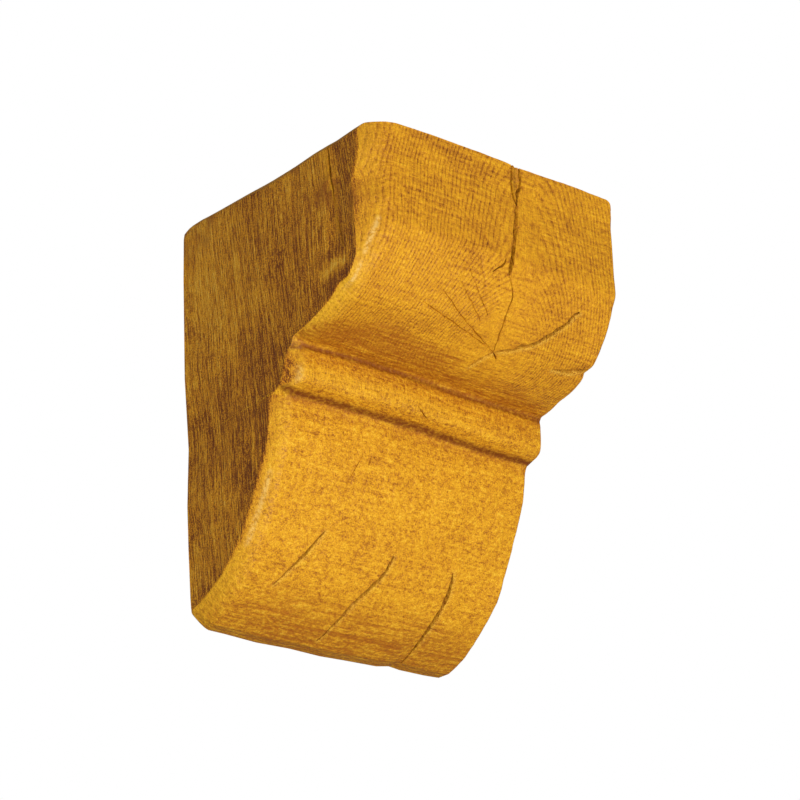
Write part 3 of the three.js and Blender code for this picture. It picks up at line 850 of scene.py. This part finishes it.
    # lighter left arris and bead edge: partly worn wood, partly painted highlight
    wearAndHighlightMask = bench.math("MULTIPLY", bench.painted("wearAndHighlight"), bench.span(fibre, 0.28, 0.62, 0.3, 1.0))
    colour = bench.blend(wearAndHighlightMask, colour, v["wearAndHighlight"])
    strokeStain = bench.span(bench.math("MULTIPLY_ADD", fleck, 0.5, stroke), 0.58, 0.95, 1.0, 0.25)
    colour = bench.blend(bench.math("MULTIPLY", bench.painted("pooled"), strokeStain), colour, v["stain"])
    redRoom = bench.span(cloud("redRoom", place), 0.50, 0.66, 0.0, 0.65)
    level = bench.add("ShaderNodeSeparateXYZ", None, Vector=place).outputs["Z"]
    redRoom = bench.math("MULTIPLY", bench.math("MULTIPLY", redRoom, flank), bench.span(level, 0.045, 0.085))
    colour = bench.blend(redRoom, colour, v["redPatch"])
    # pale painted highlight lines along the left arris
    glinted = bench.math("MULTIPLY", bench.painted("glinted"), bench.span(fleck, 0.36, 0.56, 0.15, 1.0))
    colour = bench.blend(glinted, colour, v["paintedGlint"])
    # painted highlight on the lower right lip of some checks
    lipHighlightMask = bench.math("MULTIPLY", bench.painted("lip"), bench.span(grit, 0.35, 0.60))
    colour = bench.blend(lipHighlightMask, colour, v["lip"])
    # stain and painted shade in the quirks
    grooveStainShade = bench.math("MULTIPLY", bench.painted("grooveStainShade"), bench.span(fleck, 0.35, 0.75, 1.0, 0.6))
    colour = bench.blend(grooveStainShade, colour, v["grooveStainShadeColour"])
    colour = bench.blend(bench.painted("checked"), colour, v["deepStain"])
    bench.plug(shader.inputs["Base Color"], colour)
    bench.plug(shader.inputs["Roughness"], bench.span(fleck, 0.3, 0.7, *v["roughness"]))
    shader.inputs["Specular IOR Level"].default_value = v["specular"]

    frontLift = sideLift = 0.0
    for name, amount in v["frontLift"].items():
        frontLift = bench.math("MULTIPLY_ADD", textures[name], amount, frontLift)
    for name, amount in v["sideLift"].items():
        sideLift = bench.math("MULTIPLY_ADD", textures[name], amount, sideLift)
    bump = bench.add("ShaderNodeBump", None, Height=bench.mix(flank, frontLift, sideLift))
    bump.inputs["Strength"].default_value = v["bump"]
    bump.inputs["Distance"].default_value = v["bumpDistance"]
    bench.plug(shader.inputs["Normal"], bump.outputs[0])
    return material


block.name = "corbelBody"
block.data.materials.clear()
block.data.materials.append(stainedWood())
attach(block, "root")
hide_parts("corbel")
print("wood ready")

studioValues = {
    "floorDrop": 1.2, "floorSize": 8.0, "floorColour": (0.82, 0.81, 0.79),
    "keyAzimuth": -14, "keyElevation": -25, "keyDistance": 1.7, "keySize": 0.9, "keyPower": 24,
    "fillAzimuth": -80, "fillElevation": 20, "fillDistance": 1.8, "fillSize": 1.2, "fillPower": 3,
    "aim": (0, -0.07, 0), "ambient": 0.22, "floorRoughness": 0.8,
}


def fromAngles(azimuth, elevation):
    a, e = math.radians(azimuth), math.radians(elevation)
    return Vector((math.sin(a) * math.cos(e), -math.cos(a) * math.cos(e), math.sin(e)))


def makeStudio():
    v = studioValues
    bpy.ops.mesh.primitive_plane_add(size=v["floorSize"], location=(0, 0, -v["floorDrop"]))
    floor = bpy.context.object
    floor.name = "studioFloor"
    paint = bpy.data.materials.new("paleFloor")
    paint.use_nodes = True
    matt = paint.node_tree.nodes["Principled BSDF"]
    matt.inputs["Base Color"].default_value = (*v["floorColour"], 1)
    matt.inputs["Roughness"].default_value = v["floorRoughness"]
    floor.data.materials.append(paint)
    aim = Vector(v["aim"])
    for name in ("key", "fill"):
        lamp = bpy.data.lights.new(name + "Light", "AREA")
        lamp.size = v[name + "Size"]
        lamp.energy = v[name + "Power"]
        light = bpy.data.objects.new(name + "Light", lamp)
        away = fromAngles(v[name + "Azimuth"], v[name + "Elevation"])
        light.location = aim + away * v[name + "Distance"]
        light.rotation_euler = away.to_track_quat("Z", "Y").to_euler()
        light.visible_camera = False
        bpy.context.collection.objects.link(light)
    world = bpy.data.worlds.new("studioWorld")
    world.use_nodes = True
    bpy.context.scene.world = world
    tree = world.node_tree
    tree.nodes.clear()
    seen = tree.nodes.new("ShaderNodeBackground")
    seen.inputs["Color"].default_value = (1, 1, 1, 1)
    seen.inputs["Strength"].default_value = 1.0
    glow = tree.nodes.new("ShaderNodeBackground")
    glow.inputs["Color"].default_value = (1, 1, 1, 1)
    glow.inputs["Strength"].default_value = v["ambient"]
    rays = tree.nodes.new("ShaderNodeLightPath")
    mix = tree.nodes.new("ShaderNodeMixShader")
    out = tree.nodes.new("ShaderNodeOutputWorld")
    tree.links.new(rays.outputs["Is Camera Ray"], mix.inputs[0])
    tree.links.new(glow.outputs[0], mix.inputs[1])
    tree.links.new(seen.outputs[0], mix.inputs[2])
    tree.links.new(mix.outputs[0], out.inputs["Surface"])


cameraValues = {
    "azimuth": -41.61, "elevation": -22.39, "roll": -2.888,  # degrees, from low on the left
    "aim": (0.0506, -0.0096, 0.03785), "distance": 1.3925, "lens": 124.24, "sensor": 36,
}


def makeCamera():
    v = cameraValues
    back = fromAngles(v["azimuth"], v["elevation"])
    a, roll = math.radians(v["azimuth"]), math.radians(v["roll"])
    level = Vector((math.cos(a), math.sin(a), 0))
    rise = back.cross(level)
    right = level * math.cos(roll) + rise * math.sin(roll)
    up = rise * math.cos(roll) - level * math.sin(roll)
    data = bpy.data.cameras.new("photoCamera")
    data.lens = v["lens"]
    data.sensor_width = v["sensor"]
    camera = bpy.data.objects.new("photoCamera", data)
    camera.matrix_world = Matrix.Translation(Vector(v["aim"]) + back * v["distance"]) @ Matrix(
        (right, up, back)).transposed().to_4x4()
    bpy.context.collection.objects.link(camera)
    bpy.context.scene.camera = camera


makeStudio()
makeCamera()
bpy.context.scene.view_settings.view_transform = "Standard"
bpy.context.scene.view_settings.look = "None"
print("studio and camera ready")
